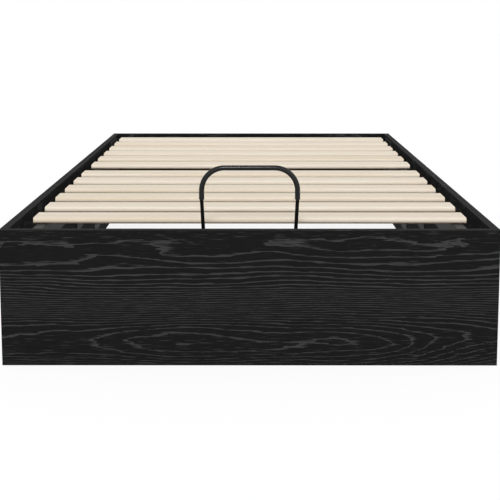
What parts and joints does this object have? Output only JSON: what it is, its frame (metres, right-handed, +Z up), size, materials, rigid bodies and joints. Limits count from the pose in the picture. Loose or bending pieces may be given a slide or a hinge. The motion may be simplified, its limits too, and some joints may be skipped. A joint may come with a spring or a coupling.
{
  "type": "ottoman bed",
  "caption": "Low box bed base of black wood-grain boards with a slatted frame that hinges up at the head on gas struts and a loop handle at the foot.",
  "frame": {"origin": "centre of the bed's footprint on the floor", "axes": "+Z up, +Y from the foot with the handle to the head, +X to the right seen from the foot"},
  "size_m": [0.935, 2.035, 0.3765],
  "materials": {
    "black_oak_board": "black oak-look foil on chipboard, fine grain relief",
    "slat_wood": "pale bare plywood, sanded",
    "painted_steel": "black powder coat",
    "strut_paint": "smooth black enamel",
    "zinc_steel": "zinc plated",
    "polished_rod": "polished hard chrome",
    "pad_rubber": "matt rubber",
    "black_plastic": "moulded, fine texture",
    "grip_foam": "satin black sleeve"
  },
  "bodies": {
    "bed_box": {"back_panel": "black_oak_board", "corner_bracket_front_left": "painted_steel", "corner_bracket_front_right": "painted_steel", "corner_bracket_rear_left": "painted_steel", "corner_bracket_rear_right": "painted_steel", "corner_screws": "zinc_steel", "frame_rest_left": "painted_steel", "frame_rest_right": "painted_steel", "front_panel": "black_oak_board", "front_rest_brackets": "painted_steel", "hinge_pins": "zinc_steel", "hinge_plate_left": "painted_steel", "hinge_plate_right": "painted_steel", "hinge_plate_screws": "zinc_steel", "left_side_panel": "black_oak_board", "rest_pads": "pad_rubber", "rest_screws": "zinc_steel", "right_side_panel": "black_oak_board", "strut_lower_pins": "zinc_steel"},
    "slat_frame": {"front_cross_tube": "painted_steel", "front_left_rail": "painted_steel", "front_middle_tube": "painted_steel", "front_right_rail": "painted_steel", "handle_grip": "grip_foam", "handle_nuts": "zinc_steel", "handle_rod": "painted_steel", "hinge_arm_left": "painted_steel", "hinge_arm_right": "painted_steel", "hinge_bushes": "black_plastic", "joint_bolts": "zinc_steel", "joint_plate_left": "painted_steel", "joint_plate_right": "painted_steel", "rear_cross_tube": "painted_steel", "rear_left_rail": "painted_steel", "rear_middle_tube": "painted_steel", "rear_right_rail": "painted_steel", "slat_01": "slat_wood", "slat_02": "slat_wood", "slat_03": "slat_wood", "slat_04": "slat_wood", "slat_05": "slat_wood", "slat_06": "slat_wood", "slat_07": "slat_wood", "slat_08": "slat_wood", "slat_09": "slat_wood", "slat_10": "slat_wood", "slat_11": "slat_wood", "slat_12": "slat_wood", "slat_screws": "zinc_steel", "strut_upper_pins": "zinc_steel", "tube_end_caps": "black_plastic"},
    "strut_cylinder_left": {"strut_cylinder_left": "strut_paint", "strut_guide_left": "black_plastic"},
    "strut_rod_left": {"strut_rod_left": "polished_rod", "strut_piston_left": "zinc_steel"},
    "strut_cylinder_right": {"strut_cylinder_right": "strut_paint", "strut_guide_right": "black_plastic"},
    "strut_rod_right": {"strut_rod_right": "polished_rod", "strut_piston_right": "zinc_steel"}
  },
  "joints": [
    {"name": "lift", "type": "hinge", "parent": "bed_box", "child": "slat_frame", "pos_m": [0, 0.9, 0.228], "axis": [-1, 0, 0], "range_deg": [0, 40]},
    {"name": "strut_left_cylinder_swing", "type": "hinge", "parent": "bed_box", "child": "strut_cylinder_left", "pos_m": [-0.43625, 0.79117, 0.0395], "axis": [-1, 0, 0], "range_deg": [0, 20]},
    {"name": "strut_left_rod_swing", "type": "hinge", "parent": "slat_frame", "child": "strut_rod_left", "pos_m": [-0.43625, 0.68234, 0.228], "axis": [-1, 0, 0], "range_deg": [-20, 0]},
    {"name": "strut_right_cylinder_swing", "type": "hinge", "parent": "bed_box", "child": "strut_cylinder_right", "pos_m": [0.43625, 0.79117, 0.0395], "axis": [-1, 0, 0], "range_deg": [0, 20]},
    {"name": "strut_right_rod_swing", "type": "hinge", "parent": "slat_frame", "child": "strut_rod_right", "pos_m": [0.43625, 0.68234, 0.228], "axis": [-1, 0, 0], "range_deg": [-20, 0]}
  ],
  "couplings": [
    {"joint": "strut_left_cylinder_swing", "follows": "lift", "ratio": 0.5},
    {"joint": "strut_left_rod_swing", "follows": "lift", "ratio": -0.5},
    {"joint": "strut_right_cylinder_swing", "follows": "lift", "ratio": 0.5},
    {"joint": "strut_right_rod_swing", "follows": "lift", "ratio": -0.5}
  ]
}
